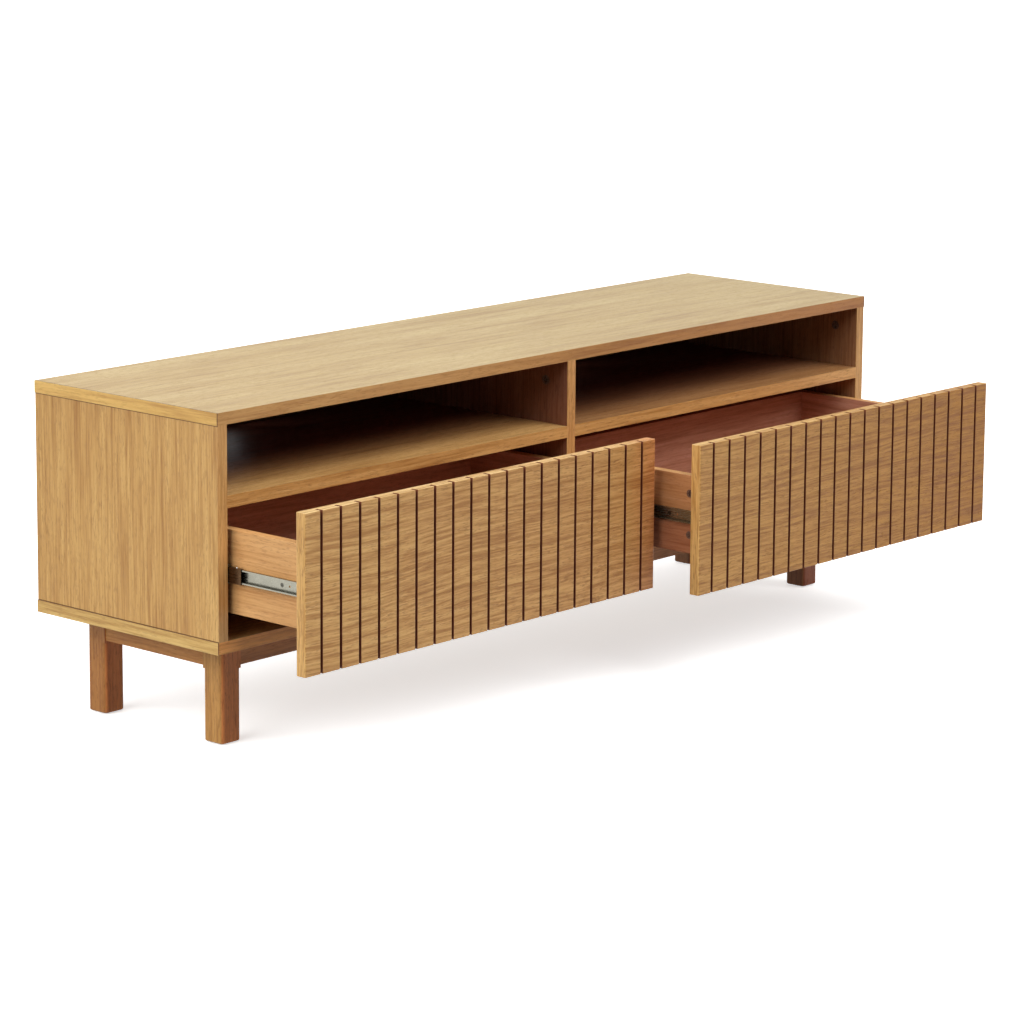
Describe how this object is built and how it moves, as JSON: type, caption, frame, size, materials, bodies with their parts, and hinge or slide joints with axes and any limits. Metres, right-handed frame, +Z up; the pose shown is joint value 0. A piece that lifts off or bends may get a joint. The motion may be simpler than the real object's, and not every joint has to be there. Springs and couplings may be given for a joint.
{
  "type": "media cabinet",
  "caption": "Low wooden media cabinet on square legs, with open bays over wide drawers whose thick fronts are cut into vertical slats, on ball-bearing slides.",
  "frame": {"origin": "on the floor, under the middle of the box that the cabinet fills with its drawers as modelled, part open", "axes": "+X along the width, from the left end to the right end as seen from the front; +Y from the front to the back; +Z up"},
  "size_m": [1.5, 0.636, 0.495],
  "materials": {
    "top_veneer": "satin oak veneer, grain along the width",
    "carcass_veneer": "satin oak veneer",
    "fluted_veneer": "satin oak veneer, grain across the slats",
    "back_board": "thin stained fibreboard",
    "drawer_board": "satin oak foil",
    "solid_oak": "satin oiled oak",
    "beech_dowel": "raw",
    "glide_plastic": "matte",
    "cam_zinc": "cast zinc, satin",
    "screw_zinc": "zinc plated",
    "slide_steel": "zinc plated, satin",
    "ball_steel": "polished"
  },
  "bodies": {
    "cabinet": {"back_left_leg": "solid_oak", "back_panel_screws": "screw_zinc", "back_rail": "solid_oak", "back_right_leg": "solid_oak", "bottom_panel": "carcass_veneer", "centre_divider": "carcass_veneer", "corner_block_screws": "screw_zinc", "corner_blocks": "solid_oak", "foot_glides": "glide_plastic", "front_left_leg": "solid_oak", "front_rail": "solid_oak", "front_right_leg": "solid_oak", "left_back_panel": "back_board", "left_bay_left_track": "slide_steel", "left_bay_right_track": "slide_steel", "left_end_rail": "solid_oak", "left_shelf": "carcass_veneer", "left_side_panel": "carcass_veneer", "panel_cam_bolts": "cam_zinc", "panel_cam_locks": "cam_zinc", "panel_dowels": "beech_dowel", "rail_dowels": "beech_dowel", "right_back_panel": "back_board", "right_bay_left_track": "slide_steel", "right_bay_right_track": "slide_steel", "right_end_rail": "solid_oak", "right_shelf": "carcass_veneer", "right_side_panel": "carcass_veneer", "shelf_cam_bolts": "cam_zinc", "shelf_cam_locks": "cam_zinc", "top_panel": "top_veneer", "track_screws": "screw_zinc"},
    "left_drawer": {"left_drawer_back": "drawer_board", "left_drawer_bottom": "drawer_board", "left_drawer_cam_bolts": "cam_zinc", "left_drawer_cam_locks": "cam_zinc", "left_drawer_front": "fluted_veneer", "left_drawer_left_side": "drawer_board", "left_drawer_left_slide": "slide_steel", "left_drawer_right_side": "drawer_board", "left_drawer_right_slide": "slide_steel", "left_drawer_screws": "screw_zinc", "left_drawer_slide_screws": "screw_zinc"},
    "right_drawer": {"right_drawer_back": "drawer_board", "right_drawer_bottom": "drawer_board", "right_drawer_cam_bolts": "cam_zinc", "right_drawer_cam_locks": "cam_zinc", "right_drawer_front": "fluted_veneer", "right_drawer_left_side": "drawer_board", "right_drawer_left_slide": "slide_steel", "right_drawer_right_side": "drawer_board", "right_drawer_right_slide": "slide_steel", "right_drawer_screws": "screw_zinc", "right_drawer_slide_screws": "screw_zinc"},
    "left_ball_cages": {"left_ball_cages": "slide_steel", "left_slide_balls": "ball_steel"},
    "right_ball_cages": {"right_ball_cages": "slide_steel", "right_slide_balls": "ball_steel"}
  },
  "joints": [
    {"name": "left_drawer_slide", "type": "slide", "parent": "cabinet", "child": "left_drawer", "axis": [0, -1, 0], "range_m": [-0.151, 0.109]},
    {"name": "left_cage_slide", "type": "slide", "parent": "cabinet", "child": "left_ball_cages", "axis": [0, -1, 0], "range_m": [-0.076, 0.055]},
    {"name": "right_drawer_slide", "type": "slide", "parent": "cabinet", "child": "right_drawer", "axis": [0, -1, 0], "range_m": [-0.235, 0.025]},
    {"name": "right_cage_slide", "type": "slide", "parent": "cabinet", "child": "right_ball_cages", "axis": [0, -1, 0], "range_m": [-0.118, 0.013]}
  ],
  "couplings": [
    {"joint": "left_cage_slide", "follows": "left_drawer_slide", "ratio": 0.5},
    {"joint": "right_cage_slide", "follows": "right_drawer_slide", "ratio": 0.5}
  ]
}
